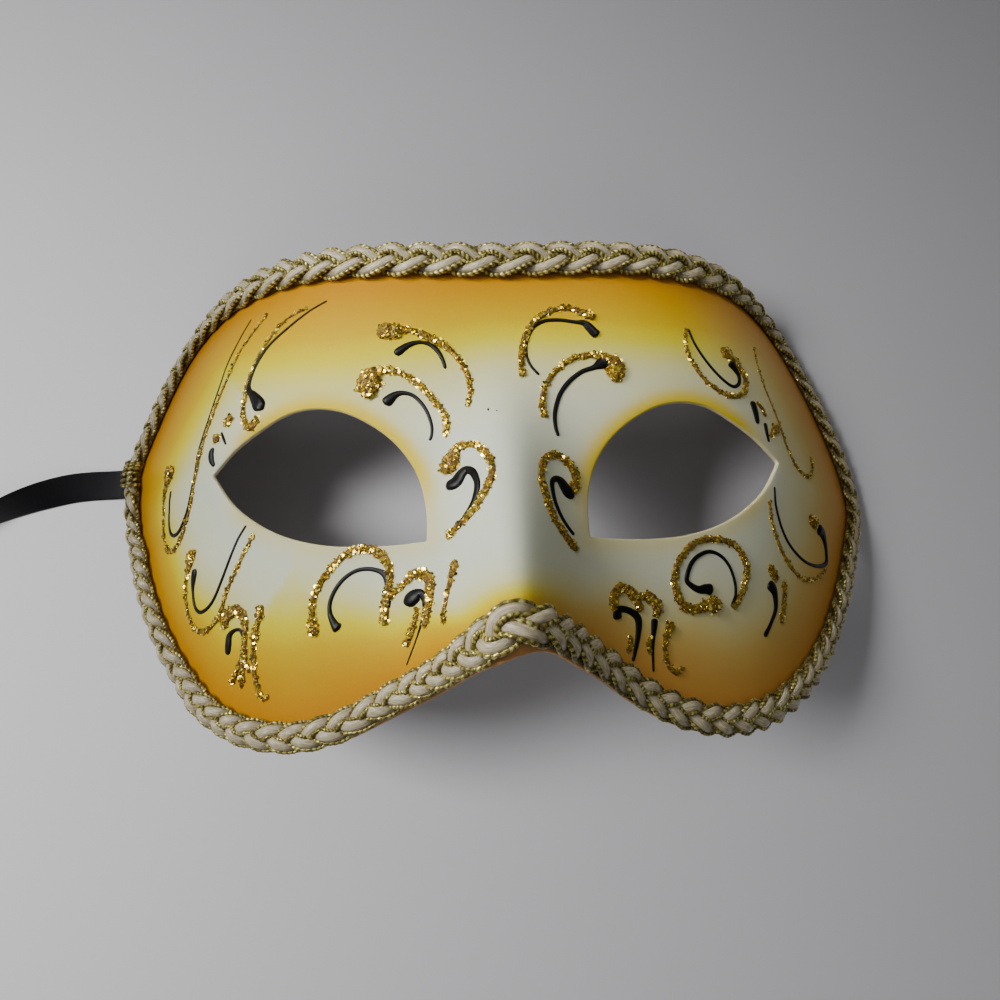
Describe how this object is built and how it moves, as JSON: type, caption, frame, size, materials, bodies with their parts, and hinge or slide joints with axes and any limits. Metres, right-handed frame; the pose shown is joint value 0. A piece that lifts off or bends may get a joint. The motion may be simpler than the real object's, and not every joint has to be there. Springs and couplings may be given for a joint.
{
  "type": "venetian half mask",
  "caption": "Moulded half mask with two almond eye holes, a plaited trim glued round its rim and a coiled ribbon tie at one temple, lying on its back.",
  "frame": {"origin": "on the floor under the middle of the mask, which lies on its back on the flats of its two temples", "axes": "+X to the viewer's right across the face, +Y up the face towards the forehead, +Z out of the face, away from the floor"},
  "size_m": [0.3002, 0.1206, 0.0728],
  "materials": {
    "painted_papier_mache": "matte paint, white at the middle and shaded to yellow and orange at the rim",
    "plaited_braid": "cream satin strands edged with gold thread",
    "black_satin": "satin weave with a soft sheen"
  },
  "bodies": {
    "root": {"mask_shell": "painted_papier_mache", "edge_braid": "plaited_braid", "tie_ribbon": "black_satin", "tie_ribbon_coil": "black_satin"}
  },
  "joints": []
}
